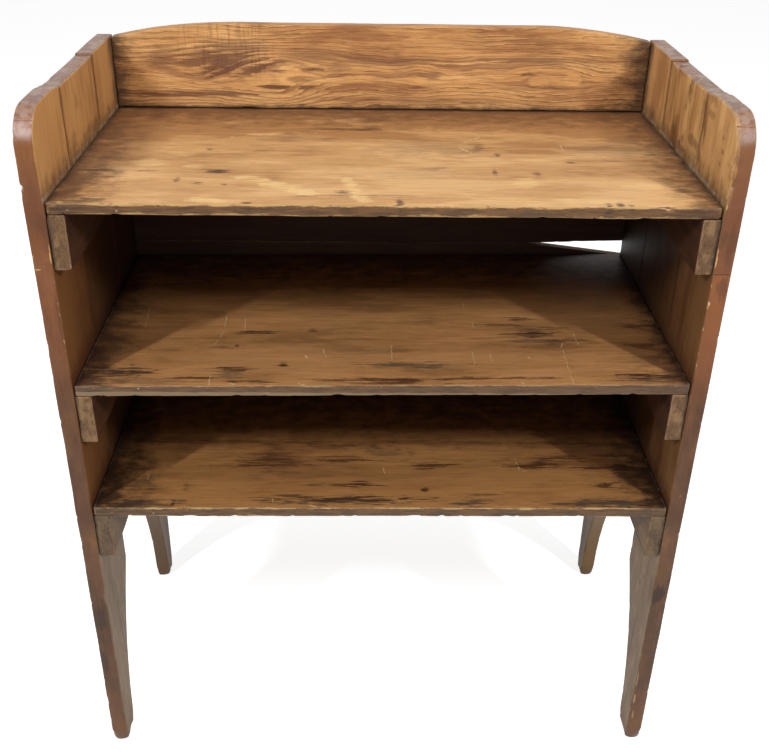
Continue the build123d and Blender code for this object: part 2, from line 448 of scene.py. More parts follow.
# ---- Effects that several finishes share ----------------------------------------------------
def make_old_pine_effect():
    """Old pine in three tones: patches and streaks along the grain, fibres and growth rings.

    Place is along, across and through the board. Figure is how strongly the rings show, and
    Streaks is the streaks' share in the tones beside that of the patches."""
    group, r, given, put_out = effect(
        "old pine",
        {
            "Place": "place", "Pith": "place", "Ring": "number", "Figure": "number", "Streaks": "number",
            "Lift": "number", "Light": "colour", "Middle": "colour", "Deep": "colour",
        },
        {"Colour": "colour", "Height": "number", "Fibre": "number", "Tone": "number"},
    )
    shifted = r.vector("ADD", given["Place"], given["Pith"])
    bend = r.vector("SUBTRACT", r.noise(shifted, (2.2, 9, 9), 2.0, colour=True), (0.5, 0.5, 0.5))
    bend = r.vector("MULTIPLY", bend, (0.0, 28 * MM, 28 * MM))
    centred = r.vector("SUBTRACT", r.vector("ADD", given["Place"], bend), given["Pith"])
    radius = r.vector("LENGTH", r.vector("MULTIPLY", centred, (0.0, 1.0, 1.0)))
    uneven = r.times(r.noise(shifted, (0.8, 40, 40), 2.0), 1.4)
    turn = r.math("FRACT", r.plus(r.math("DIVIDE", radius, given["Ring"]), uneven))
    late = r.times(r.fade(turn, 0.3, 0.9), r.fade(turn, 1.0, 0.94), given["Figure"])
    fibre = r.noise(shifted, (26, 480, 480), 4.0, 0.7)
    streak = r.noise(shifted, (3.5, 90, 90), 4.0, 0.66)
    patch = r.noise(shifted, (6, 19, 19), 5.0, 0.62)
    even = r.minus(1.0, given["Streaks"])
    tone = r.plus(r.times(patch, even), r.times(streak, given["Streaks"]), given["Lift"])
    colour = r.mix(r.fade(tone, 0.40, 0.50), given["Deep"], given["Middle"])
    colour = r.mix(r.fade(tone, 0.50, 0.62), colour, given["Light"])
    colour = r.mix(late, colour, given["Deep"])
    shade = r.plus(r.times(fibre, 1.0), 0.5)
    colour = r.mix(1.0, colour, r.join(shade, shade, shade), "MULTIPLY")
    height = r.plus(r.times(late, 0.35), r.times(fibre, 0.5), r.times(streak, 0.5))
    put_out(Colour=colour, Height=height, Fibre=fibre, Tone=tone)
    return group


def make_knot_effect():
    """Pushes the grain aside round a knot, and marks the knot itself."""
    group, r, given, put_out = effect(
        "knot", {"Place": "place", "Centre": "place", "Reach": "number"},
        {"Place": "place", "Knot": "number"},
    )
    away = r.vector("SUBTRACT", given["Place"], given["Centre"])
    flat = r.vector("MULTIPLY", away, (0.55, 1.0, 0.0))
    distance = r.math("DIVIDE", r.vector("LENGTH", flat), given["Reach"])
    push = r.math("POWER", 2.718, r.times(distance, distance, -1.0))
    moved = r.vector("MULTIPLY", away, r.join(0.0, r.times(push, -0.8), 0.0))
    put_out(Place=r.vector("ADD", given["Place"], moved), Knot=r.fade(distance, 0.42, 0.25))
    return group


def make_stain_effect():
    """A ragged stain round Centre. Half is half its length along the grain and half its width."""
    group, r, given, put_out = effect(
        "stain", {"Place": "place", "Centre": "place", "Half": "place", "Rough": "number"},
        {"Mask": "number"},
    )
    away = r.vector("DIVIDE", r.vector("SUBTRACT", given["Place"], given["Centre"]), given["Half"])
    distance = r.vector("LENGTH", r.vector("MULTIPLY", away, (1.0, 1.0, 0.0)))
    put_out(Mask=r.fade(r.plus(distance, given["Rough"]), 1.1, 0.5))
    return group


def make_thin_line_effect():
    """A thin straight line from Start to End, for scratch marks and for a painted streak of light."""
    group, r, given, put_out = effect(
        "scratch", {"Place": "place", "Start": "place", "End": "place", "Width": "number"},
        {"Mask": "number"},
    )
    along = r.vector("SUBTRACT", given["End"], given["Start"])
    offset = r.vector("SUBTRACT", given["Place"], given["Start"])
    share = r.math(
        "DIVIDE", r.vector("DOT_PRODUCT", offset, along), r.vector("DOT_PRODUCT", along, along),
        clamp=True,
    )
    nearest = r.vector("MULTIPLY", along, r.join(share, share, share))
    distance = r.vector(
        "LENGTH", r.vector("MULTIPLY", r.vector("SUBTRACT", offset, nearest), (1.0, 1.0, 0.0)),
    )
    put_out(Mask=r.fade(distance, given["Width"], r.times(given["Width"], 0.25)))
    return group


def make_joint_dirt_and_shade_effect():
    """A darkening along a joint that thins out raggedly with the distance from it: dirt at some joints,
    painted shade at others.
    """
    group, r, given, put_out = effect(
        "joint dirt and shade", {"Distance": "number", "Reach": "number", "Rough": "number"}, {"Mask": "number"},
    )
    distance = r.plus(r.math("DIVIDE", given["Distance"], given["Reach"]), r.times(given["Rough"], 1.9))
    put_out(Mask=r.fade(distance, 1.0, 0.0))
    return group


def make_specks_effect():
    """Small dark specks, pits and pale nicks, scattered thinly."""
    group, r, given, put_out = effect("specks", {"Place": "place"}, {"Dark": "number", "Pale": "number"})
    dark = r.fade(r.noise(given["Place"], (150, 260, 260), 2.0, 0.6), 0.70, 0.78)
    pale = r.fade(r.noise(given["Place"], (210, 120, 210), 2.0, 0.6), 0.72, 0.79)
    put_out(Dark=dark, Pale=pale)
    return group


old_pine_effect = make_old_pine_effect()
knot_effect = make_knot_effect()
stain_effect = make_stain_effect()
thin_line_effect = make_thin_line_effect()
joint_dirt_and_shade_effect = make_joint_dirt_and_shade_effect()
specks_effect = make_specks_effect()


# ---- Finishes -------------------------------------------------------------------------------
def new_finish(name):
    """An empty finish: the material, its recipe and the place on the bench, in metres."""
    material = bpy.data.materials.new(name)
    material.use_nodes = True
    material.node_tree.nodes.clear()
    r = Recipe(material.node_tree)
    return material, r, r.node("TexCoord", {}).outputs["Object"]


def close_finish(r, colour, roughness, height, relief_depth=0.3 * MM, specular=0.3, metallic=0.0):
    """Ends a finish: its colour, gloss and relief go to the surface."""
    relief = r.node("Bump", {"Strength": 1.0, "Distance": relief_depth, "Height": height})
    surface = r.node(
        "BsdfPrincipled",
        {
            "Base Color": colour, "Roughness": roughness, "Normal": relief.outputs[0],
            "Specular IOR Level": specular, "Metallic": metallic,
        },
    )
    output = r.node("OutputMaterial", {"Surface": surface.outputs[0]})
    return output


def spread(r, place, rough, marks):
    """The strongest of several stains at each point. A mark is its place along and across the
    board, half its length, half its width, all in millimetres, and its strength."""
    total = 0.0
    for along, across, half_length, half_width, strength in marks:
        mask = r.use(
            stain_effect, Place=place, Centre=(along * MM, across * MM, 0),
            Half=(half_length * MM, half_width * MM, 1), Rough=rough,
        )["Mask"]
        total = r.most(r.times(mask, strength), total)
    return total


def round_knots(r, place, knots):
    """The place with the grain pushed aside round each knot, and the mask of the knots."""
    mask = 0.0
    for along, across, reach in knots:
        out = r.use(knot_effect, Place=place, Centre=(along * MM, across * MM, 0), Reach=reach * MM)
        place = out["Place"]
        mask = r.most(out["Knot"], mask)
    return place, mask


def joint_dirt_and_shade(r, rough, *joints):
    """The most darkening of several joints, standing for dirt and for painted shade. A joint is the
    distance from it and its darkening's reach.
    """
    masks = (
        r.use(joint_dirt_and_shade_effect, Distance=gap, Reach=reach, Rough=rough)["Mask"] for gap, reach in joints
    )
    return r.most(*masks)


def thin_pale_lines(r, place, lines):
    """The strongest of several thin pale lines: scratch marks, and on the middle shelf one painted streak
    of light. A line is both its ends and its width.
    """
    wander = r.vector("SUBTRACT", r.noise(place, (60, 60, 60), 2.0, colour=True), (0.5, 0.5, 0.5))
    place = r.vector("ADD", place, r.vector("MULTIPLY", wander, (5 * MM, 5 * MM, 0.0)))
    broken = r.fade(r.noise(place, (170, 170, 170), 2.0), 0.40, 0.52)
    total = 0.0
    for x1, y1, x2, y2, width in lines:
        ends = {"Start": (x1 * MM, y1 * MM, 0), "End": (x2 * MM, y2 * MM, 0)}
        total = r.most(r.use(thin_line_effect, Place=place, Width=0.75 * width * MM, **ends)["Mask"], total)
    return r.times(total, broken)


dark_brown = rgb(66, 40, 24)
near_black = rgb(34, 24, 20)
grey_dirt = rgb(66, 56, 48)
dust_grey = rgb(150, 136, 122)
cream = rgb(232, 208, 164)
pale_wood = rgb(206, 164, 106)


def shelf_finish(name, tones, marks):
    """Waxed pine shelf: figure along its length, dirt and painted shade towards its ends and its back,
    and its own marks on top.
    """
    material, r, place = new_finish(f"{name} shelf pine")
    x, y, z = r.parts(place)
    top = shelf_tops[name]
    from_front = r.minus(y, front_y)
    board = r.join(x, from_front, r.minus(z, top))
    flat = r.join(x, from_front, 0.0)
    grained, knots = round_knots(r, board, marks["knots"])
    rough = r.waver(board, (38, 60, 60), 5.0, 0.68)
    stringy = r.waver(board, (24, 330, 330), 5.0, 0.74)
    lift = r.times(r.fade(from_front, 0.0, 0.4), -tones["fall"])
    lift = r.plus(lift, 0.4 * tones["fall"])
    pine = r.use(
        old_pine_effect, Place=grained, Pith=marks["pith"], Ring=5.2 * MM, Figure=tones["figure"],
        Streaks=0.22, Lift=lift, Light=tones["light"], Middle=tones["middle"], Deep=tones["deep"],
    )
    colour = r.mix(r.times(knots, 0.6), pine["Colour"], tones["deep"])

    streaky = r.plus(r.times(stringy, 7.0), r.times(rough, 2.0))
    on_top = r.fade(z, top - 9 * MM, top - 7 * MM)
    hairs = r.fade(r.noise(board, (10, 230, 230), 4.0, 0.7), 0.57, 0.67)
    colour = r.tint(colour, tones["dirt_and_shade"], hairs, on_top, 0.3)
    pale = r.times(
        spread(r, flat, r.times(rough, 2.2), marks["pale"]), r.fade(stringy, -0.14, 0.04), on_top,
    )
    colour = r.tint(colour, tones["pale"], pale, 0.8)
    grey = r.times(spread(r, flat, streaky, marks["grey"]), on_top)
    colour = r.mix(grey, colour, grey_dirt)
    dark = r.times(spread(r, flat, streaky, marks["dark"]), on_top)
    colour = r.mix(dark, colour, dark_brown)
    specks = r.use(specks_effect, Place=board)
    colour = r.tint(colour, dark_brown, specks["Dark"], 0.5)
    # Pale scratches and nicks; on the middle shelf one of the lines is a painted streak of light.
    pale_marks = r.times(r.most(thin_pale_lines(r, flat, marks["thin_pale_lines"]), r.times(specks["Pale"], 0.3)), on_top)
    colour = r.tint(colour, cream, pale_marks, tones["pale_marks"])

    # Darker towards the ends and the back: partly dirt, partly painted shade, which reaches furthest on
    # the bottom shelf.
    side_gap = r.minus(inner_x, r.math("ABSOLUTE", x))
    back_gap = r.minus(splash_face_y if name == "top" else cover_face_y, y)
    side_reach = r.plus(tones["side_reach"], r.times(r.fade(x, 0.1, -0.1), 22 * MM))
    dirt_and_shade = joint_dirt_and_shade(r, rough, (side_gap, side_reach), (back_gap, tones["back_reach"]))
    colour = r.tint(colour, tones["dirt_and_shade"], dirt_and_shade, 0.92)
    # Painted shade in the corners against the ends and the back, with the dirt that lies there.
    corner = joint_dirt_and_shade(r, rough, (side_gap, 11 * MM), (back_gap, 9 * MM))
    colour = r.tint(colour, near_black, corner, 0.8)
    dust = r.times(
        r.fade(side_gap, 4.5 * MM, 2 * MM), r.fade(r.noise(place, (120, 50, 120), 3.0, 0.7), 0.42, 0.58),
    )
    colour = r.tint(colour, dust_grey, dust, 0.55)

    facing = r.normal()
    on_front = r.fade(facing[1], -0.30, -0.70)
    edge_streak = r.noise(board, (30, 260, 260), 5.0, 0.72)
    edge_colour = r.mix(r.fade(edge_streak, 0.40, 0.60), tones["edge_dark"], tones["edge"])
    colour = r.tint(colour, edge_colour, on_front, 0.92)
    from_arris = r.attribute("from_arris")
    edge_rough = r.waver(board, (24, 130, 130), 5.0, 0.72)
    on_arris = r.ragged(from_arris, edge_rough, 16 * MM, tones["rub"] * MM, 0.2 * tones["rub"] * MM)
    near_front = r.fade(from_front, 5 * MM, 2 * MM)
    dull_end = r.ragged(side_gap, edge_rough, 60 * MM, 60 * MM, 12 * MM)
    rubbed = r.times(on_arris, near_front, r.minus(1.0, r.times(dull_end, 0.75)))
    colour = r.tint(colour, tones["rubbed"], rubbed, 0.85)
    nicks = r.times(r.fade(r.noise(board, (150, 200, 170), 3.0, 0.6), 0.68, 0.76), near_front)
    colour = r.tint(colour, cream, nicks, 0.45)
    over_low_arris = r.minus(z, top - shelf_thickness)
    low_arris = r.times(r.ragged(over_low_arris, edge_rough, 5 * MM, 1.6 * MM, 0.4 * MM), near_front)
    colour = r.tint(colour, rgb(150, 127, 96), low_arris, 0.6)
    # Painted shade: the downward faces are painted darker.
    underside_shade = r.fade(facing[2], -0.5, -0.8)
    colour = r.tint(colour, rgb(96, 68, 46), underside_shade, 0.5)

    roughness = r.minus(0.62, r.times(pine["Tone"], 0.25))
    height = r.minus(
        pine["Height"], r.plus(r.times(pale_marks, 0.7), r.times(dark, 0.3), r.times(specks["Dark"], 0.4)),
    )
    close_finish(r, colour, roughness, height)
    return material


# Marks on the front edges of the ends, in millimetres up from the floor and out from the inner face.
edge_marks = {
    "left": {
        "pale": (
            (773, 21, 3, 1.5, 0.8), (758, 18, 0.8, 4, 0.7), (852, 21, 5, 3, 0.9), (702, 1, 4, 1.2, 0.7),
            (668, 1, 3, 1, 0.6),
        ),
        "dark": (
            (240, 12, 34, 9, 0.6), (690, 16, 20, 5, 0.25), (160, 16, 20, 5, 0.4), (700, 3, 30, 2, 0.3),
        ),
    },
    "right": {
        "pale": (
            (721, 2, 3, 2, 0.8), (688, 1, 3, 1, 0.6), (640, 1, 2, 1, 0.5), (450, 12, 1.2, 1.2, 0.4),
            (122, 2, 14, 1.0, 0.35), (86, 3, 12, 1.4, 0.4), (52, 5, 12, 1.6, 0.35),
        ),
        "dark": (
            (289, 8, 20, 9, 0.8), (560, 16, 30, 5, 0.3), (742, 14, 14, 7, 0.4), (790, 15, 30, 6, 0.35),
            (800, 6, 12, 5, 0.3),
        ),
    },
}


def end_finish(side, name, pith, marks, contrast):
    """End board: old pine inside, and worn red-brown paint on the outer face and the edges, with painted
    shade in the bays and a painted sheen and highlight on the paint.
    """
    sign = -1.0 if side == "left" else 1.0
    material, r, place = new_finish(f"{side} {name} board, pine and paint")
    x, y, z = r.parts(place)
    inner_gap = r.minus(r.times(x, sign), inner_x)
    from_front = r.minus(y, front_y)
    board = r.join(z, from_front, inner_gap)
    flat = r.join(z, from_front, 0.0)
    rough = r.waver(board, (38, 50, 50), 5.0, 0.68)
    stringy = r.waver(board, (22, 360, 360), 4.0, 0.7)
    below = r.ragged(z, rough, 0.1, bare_below + 0.03, bare_below - 0.03)
    paler = 9 if (side, name) in (("right", "front"), ("right", "back")) else 0

    def tone(even, marked, leg):
        """A tone between that of an even board and that of a marked one, and its tone on the leg."""
        steps = (first + (second - first) * contrast + paler for first, second in zip(even, marked))
        return r.mix(below, rgb(*steps), rgb(*leg))

    light = tone((206, 158, 100), (218, 176, 118), (140, 112, 80))
    middle = tone((195, 144, 90), (192, 147, 94), (120, 94, 66))
    deep = tone((172, 124, 77), (130, 91, 54), (90, 69, 47))
    pine = r.use(
        old_pine_effect, Place=board, Pith=pith, Ring=8 * MM, Figure=0.06, Streaks=0.3, Lift=0.02,
        Light=light, Middle=middle, Deep=deep,
    )
    colour = r.mix(0.45 - 0.45 * contrast, pine["Colour"], middle)
    worn_leg = r.plus(r.times(stringy, 1.2), r.times(rough, 0.6))
    colour = r.tint(colour, rgb(88, 68, 52), below, r.fade(worn_leg, 0.02, 0.24), 0.55)
    colour = r.tint(colour, rgb(164, 138, 112), below, r.fade(worn_leg, -0.04, -0.22), 0.5)
    stains = spread(r, flat, r.plus(r.times(rough, 2.6), r.times(stringy, 2.6)), marks)
    colour = r.tint(colour, rgb(88, 54, 32), stains, 0.8)
    specks = r.use(specks_effect, Place=board)
    colour = r.tint(colour, dark_brown, specks["Dark"], 0.55)

    # Darker just above each shelf, along the seams and towards the back.
    darkening_by_shelves = joint_dirt_and_shade(
        r, rough, *((r.away(z, top - 4 * MM), 30 * MM) for top in shelf_tops.values()),
    )
    seam_gaps = [r.away(y, seam) for seam in seams_y]
    seam_dirt = joint_dirt_and_shade(r, rough, *((gap, 9 * MM) for gap in seam_gaps))
    back_reach = (29 if side == "left" else 18) * MM
    darkening_at_back = joint_dirt_and_shade(r, rough, (r.minus(splash_face_y, y), back_reach))
    dirt = r.most(darkening_by_shelves, r.times(seam_dirt, 0.9), darkening_at_back)
    colour = r.tint(colour, rgb(74, 48, 32), dirt, 0.72)
    core = r.most(*(r.fade(gap, 1.8 * MM, 0.9 * MM) for gap in seam_gaps))
    colour = r.tint(colour, near_black, core, r.plus(0.45, rough))
    # Painted shade: the inner face is painted darker in the bays, darkest towards the back.
    in_bays = r.times(
        r.fade(z, bay_top + 0.01, bay_top - 0.01), r.fade(z, bay_bottom - 0.015, bay_bottom + 0.015),
    )
    depth = r.ragged(from_front, rough, 0.1, 0.0, 0.22)
    bay_shade = r.mix(depth, rgb(91, 45, 17) if side == "left" else rgb(82, 43, 20), rgb(43, 20, 10))
    colour = r.tint(colour, bay_shade, in_bays, r.plus(0.76, r.times(depth, 0.18)))
    joint = r.away(z, shelf_tops["top"] + 2 * MM)
    dust = r.times(
        r.fade(joint, 3.5 * MM, 1.5 * MM), r.fade(r.noise(place, (60, 60, 60), 3.0, 0.7), 0.42, 0.58),
    )
    colour = r.tint(colour, rgb(164, 146, 124), dust, 0.75)

    facing = r.normal()
    inside = r.fade(r.times(facing[0], -sign), 0.55, 0.85)
    upward = r.fade(facing[2], 0.1, 0.75)
    from_arris = r.attribute("from_arris")
    broad = r.noise(board, (7, 16, 16), 4.0, 0.6)
    upper = r.fade(z, 0.55, 0.70)
    coat = r.mix(upper, rgb(102, 68, 43), rgb(122, 74, 43))
    coat = r.mix(r.fade(broad, 0.42, 0.62), coat, r.mix(upper, rgb(80, 52, 34), rgb(98, 58, 37)))
    coat = r.tint(coat, rgb(136, 88, 54), r.ragged(broad, rough, 0.5, 0.46, 0.34), 0.6)
    coat = r.tint(coat, rgb(136, 92, 60), r.fade(stringy, 0.0, 0.2), 0.35)
    coat = r.mix(r.fade(z, 0.075, 0.02), coat, rgb(112, 74, 42))
    coat = r.tint(coat, rgb(52, 34, 28), specks["Dark"], 0.5)
    coat = r.tint(coat, rgb(190, 150, 110), specks["Pale"], 0.35)
    # Painted sheen: the paint's upward faces are painted a lighter mauve-grey in mottles, as if they
    # reflect the bright overhead.
    painted_sheen = r.mix(
        r.fade(r.noise(board, (40, 70, 70), 4.0, 0.7), 0.42, 0.56), rgb(108, 82, 70), rgb(154, 131, 121),
    )
    coat = r.tint(coat, painted_sheen, upward, r.fade(rough, -0.16, 0.10), 0.8)
    # Painted highlight on the sloping part of the rounded corner, stronger on the left end.
    painted_highlight = r.times(
        r.fade(facing[2], 0.2, 0.45), r.fade(facing[2], 0.85, 0.6), r.fade(rough, -0.12, 0.08),
    )
    coat = r.tint(coat, rgb(196, 172, 168), painted_highlight, 0.55 if side == "left" else 0.3)
    if name == "back":
        leg_front = r.times(r.minus(1.0, upper), r.fade(facing[1], -0.2, -0.6))
        coat = r.mix(leg_front, coat, rgb(128, 96, 56) if side == "right" else rgb(104, 77, 50))
    near_front = r.fade(from_front, 12 * MM, 5 * MM)
    if side == "right":
        coat = r.tint(coat, rgb(150, 90, 50), upper, r.fade(facing[2], 0.4, 0.1), 0.5)
        scribed = r.fade(r.away(z, paint_line), 0.9 * MM, 0.3 * MM)
        over_line = r.fade(z, paint_line - 0.2 * MM, paint_line + 0.2 * MM)
        coat = r.tint(coat, rgb(96, 64, 48), over_line, upper, near_front, 0.4)
        coat = r.tint(coat, rgb(48, 30, 24), scribed, near_front, 0.8)
        bare_reach = r.plus(0.4 * MM, r.times(r.fade(z, 0.82, 0.845), r.fade(z, 0.945, 0.93), 3.8 * MM))
    else:
        bare_reach = 0.3 * MM
    broken = r.fade(r.noise(board, (24, 60, 60), 3.0, 0.6), 0.44, 0.54)
    worn_inner = r.ragged(inner_gap, rough, 14 * MM, r.times(bare_reach, 1.3), r.times(bare_reach, 0.9))
    worn_inner = r.times(
        worn_inner, r.most(near_front, r.times(upward, 0.3)), r.plus(0.3, r.times(broken, 0.7)),
    )
    worn_arris = r.ragged(from_arris, rough, 12 * MM, 0.9 * MM, 0.1 * MM)
    worn_face = r.times(r.fade(broad, 0.62, 0.72), r.fade(stringy, -0.05, 0.1), 0.4)
    worn = r.most(worn_inner, r.times(worn_arris, 0.7), worn_face)
    not_inside = r.minus(1.0, inside)
    painted = r.times(not_inside, r.minus(1.0, worn))
    bare = r.tint(colour, pale_wood, worn_inner, upper)
    colour = r.tint(colour, bare, not_inside, worn)
    colour = r.tint(colour, coat, painted, 0.94)
    edge = r.join(z, inner_gap, 0.0)
    nicked = r.times(
        spread(r, edge, r.times(rough, 3.0), edge_marks[side]["pale"]), near_front, not_inside,
    )
    colour = r.mix(nicked, colour, rgb(214, 182, 138))
    ragged = r.plus(r.times(rough, 3.0), r.times(stringy, 1.6))
    stained = r.times(spread(r, edge, ragged, edge_marks[side]["dark"]), near_front, not_inside)
    colour = r.mix(stained, colour, rgb(48, 32, 26))
    foot = r.ragged(z, rough, 60 * MM, 42 * MM, 12 * MM)
    colour = r.tint(colour, rgb(104, 70, 44), foot, 0.6)
    foot_tip = r.ragged(z, rough, 24 * MM, 12 * MM, 3 * MM)
    colour = r.tint(colour, rgb(70, 46, 32), foot_tip, 0.6)
    near_nail = r.attribute("from_nail")
    iron_stain = r.ragged(near_nail, rough, 16 * MM, 11 * MM, 3 * MM)
    colour = r.tint(colour, near_black, iron_stain, 0.7)

    roughness = r.minus(r.minus(0.62, r.times(pine["Tone"], 0.15)), r.times(painted, 0.16))
    height = r.plus(r.times(pine["Height"], r.minus(1.0, r.times(painted, 0.4))), r.times(painted, 0.45))
    close_finish(r, colour, roughness, height, specular=0.24)
    return material


def cleat_finish():
    """Old bare pine: brown sides, and rough weathered end grain at the front."""
    material, r, place = new_finish("cleat pine")
    x, y, z = r.parts(place)
    board = r.join(y, z, x)
    below = r.fade(z, 0.46, 0.44)
    pine = r.use(
        old_pine_effect, Place=board, Pith=(0.3, 0.6, 0.33), Ring=5 * MM, Figure=0.1, Streaks=0.4,
        Lift=0.0, Light=r.mix(below, rgb(84, 49, 27), rgb(132, 106, 78)),
        Middle=r.mix(below, rgb(68, 39, 22), rgb(112, 88, 64)),
        Deep=r.mix(below, rgb(50, 28, 16), rgb(84, 64, 46)),
    )
    facing = r.normal()
    on_front = r.fade(facing[1], -0.4, -0.75)
    pores = r.noise(place, (420, 220, 240), 5.0, 0.75)
    blotch = r.noise(place, (70, 45, 38), 5.0, 0.68)
    end_grain = r.mix(r.fade(pores, 0.30, 0.62), rgb(84, 61, 41), rgb(114, 84, 56))
    end_grain = r.mix(
        below, end_grain, r.mix(r.fade(pores, 0.30, 0.62), rgb(78, 62, 46), rgb(104, 84, 64)),
    )
    end_grain = r.tint(
        end_grain, r.mix(below, rgb(148, 115, 80), rgb(122, 98, 72)), r.fade(blotch, 0.46, 0.62), 0.7,
    )
    end_grain = r.tint(end_grain, rgb(76, 54, 38), r.fade(blotch, 0.46, 0.34), 0.5)
    colour = r.mix(on_front, pine["Colour"], end_grain)
    rough = r.waver(place, (60, 60, 60), 4.0, 0.7)
    from_arris = r.attribute("from_arris")
    rubbed = r.ragged(from_arris, rough, 14 * MM, 1.6 * MM, 0.3 * MM)
    colour = r.tint(colour, rgb(158, 124, 90), rubbed, on_front, 0.5)
    # Painted shade in the crevice against the end board, with the dirt that lies there.
    gap = r.minus(inner_x, r.math("ABSOLUTE", x))
    dark = joint_dirt_and_shade(r, rough, (gap, 5.5 * MM))
    colour = r.tint(colour, near_black, dark, 0.95)
    close_finish(r, colour, 0.66, r.plus(pine["Height"], r.times(pores, on_front)), 0.5 * MM)
    return material


def backsplash_finish():
    """Strongly figured pine with swirling rings, dark blotches, and its ends and bottom edge darker."""
    material, r, place = new_finish("arched board pine")
    x, y, z = r.parts(place)
    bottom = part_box("backsplash")[0].z
    height_up = r.minus(z, bottom)
    board = r.join(x, height_up, r.minus(y, splash_face_y))
    flat = r.join(x, height_up, 0.0)
    knot_places = (
        (-170, 40, 30), (-123, 43, 26), (-250, 58, 22), (54, 41, 16), (218, 41, 24), (265, 43, 20),
    )
    grained, knots = round_knots(r, board, knot_places)
    rough = r.waver(board, (30, 60, 60), 5.0, 0.7)
    stringy = r.waver(board, (20, 300, 300), 4.0, 0.72)
    swirl = r.times(r.noise(grained, (3.4, 11, 11), 2.0, 0.45), 7.5)
    ripple = r.times(r.noise(grained, (17, 56, 56), 3.0, 0.6), 1.5)
    across = r.math("DIVIDE", r.parts(grained)[1], 6.4 * MM)
    turns = r.plus(across, swirl, ripple, r.times(stringy, 0.7))
    turn = r.math("FRACT", turns)
    ring = r.times(r.fade(turn, 0.5, 0.95), r.fade(turn, 1.0, 0.96))
    finer = r.math("FRACT", r.times(turns, 2.6))
    thin_ring = r.times(r.fade(finer, 0.5, 0.92), r.fade(finer, 1.0, 0.94))
    band = r.fade(
        r.noise(r.join(r.times(x, 5.0), r.times(turns, 0.42), 0.0), (1, 1, 1), 3.0, 0.55), 0.515, 0.575,
    )
    line_strength = r.fade(r.noise(board, (8, 24, 24), 3.0, 0.6), 0.44, 0.62)
    line_strength = r.most(line_strength, r.times(r.fade(height_up, 38 * MM, 24 * MM), 0.8))
    pine = r.use(
        old_pine_effect, Place=board, Pith=(2.1, 0.02, 0.035), Ring=30 * MM, Figure=0.0, Streaks=0.35,
        Lift=0.02, Light=rgb(228, 176, 114), Middle=rgb(206, 152, 94), Deep=rgb(164, 112, 68),
    )
    central = r.fade(r.away(height_up, 56 * MM), 32 * MM, 12 * MM)
    colour = r.mix(r.times(band, r.plus(0.08, r.times(central, 0.54))), pine["Colour"], rgb(136, 87, 60))
    colour = r.tint(colour, rgb(140, 90, 52), thin_ring, 0.2)
    colour = r.tint(colour, rgb(112, 68, 38), ring, r.plus(0.12, r.times(line_strength, 0.6)))
    ridge = r.fade(turn, 0.22, 0.06)
    colour = r.tint(colour, rgb(240, 190, 124), ridge, line_strength, 0.55)
    colour = r.tint(colour, rgb(226, 172, 106), knots, 0.5)
    sawn = r.times(r.fade(r.noise(board, (320, 22, 22), 3.0, 0.6), 0.50, 0.60), r.fade(x, -0.13, -0.18))
    sawn = r.times(sawn, r.fade(x, -0.30, -0.25), r.fade(height_up, 36 * MM, 56 * MM))
    colour = r.tint(colour, rgb(120, 74, 46), sawn, 0.32)
    blotches = spread(
        r, flat, r.plus(r.times(stringy, 1.8), r.times(r.minus(turn, 0.5), 0.9)),
        (
            (-215, 64, 66, 22, 0.8), (-205, 84, 48, 12, 0.6), (-300, 66, 26, 16, 0.5),
            (-95, 72, 52, 11, 0.5), (-60, 60, 20, 12, 0.35), (15, 66, 95, 6, 0.5), (190, 70, 90, 4, 0.6),
            (-245, 20, 100, 4, 0.8), (60, 48, 24, 5, 0.6), (90, 12, 120, 5, 0.4), (-30, 14, 90, 4, 0.5),
            (-110, 40, 20, 4, 0.5), (235, 32, 70, 3, 0.5), (-150, 30, 22, 3, 0.9), (-146, 52, 16, 3, 0.7),
            (-96, 54, 16, 3, 0.8), (-104, 30, 18, 3, 0.8), (54, 31, 16, 2, 0.7), (205, 50, 12, 3, 0.7),
            (226, 32, 20, 2, 0.7),
        ),
    )
    colour = r.mix(blotches, colour, rgb(98, 60, 44))
    colour = r.tint(colour, rgb(90, 54, 34), r.fade(stringy, 0.11, 0.19), 0.5)
    # Darker towards both ends and along the bottom edge.
    side_gap = r.minus(inner_x, r.math("ABSOLUTE", x))
    reach = r.plus(38 * MM, r.times(r.fade(x, 0.0, 0.1), 22 * MM))
    dirt = joint_dirt_and_shade(r, rough, (side_gap, reach), (height_up, 9 * MM))
    colour = r.tint(colour, rgb(50, 32, 24), dirt, 0.85)
    facing = r.normal()
    upward = r.fade(facing[2], 0.4, 0.9)
    colour = r.tint(colour, rgb(150, 112, 76), upward, 0.4)
    specks = r.use(specks_effect, Place=board)
    colour = r.tint(colour, dark_brown, specks["Dark"], 0.6)
    colour = r.tint(colour, cream, specks["Pale"], 0.25)
    lines = r.plus(
        r.times(ring, 0.6), r.times(thin_ring, 0.25), r.times(r.fade(stringy, 0.11, 0.19), 0.5),
    )
    height = r.minus(pine["Height"], lines)
    close_finish(r, colour, 0.55, height, 0.5 * MM)
    return material


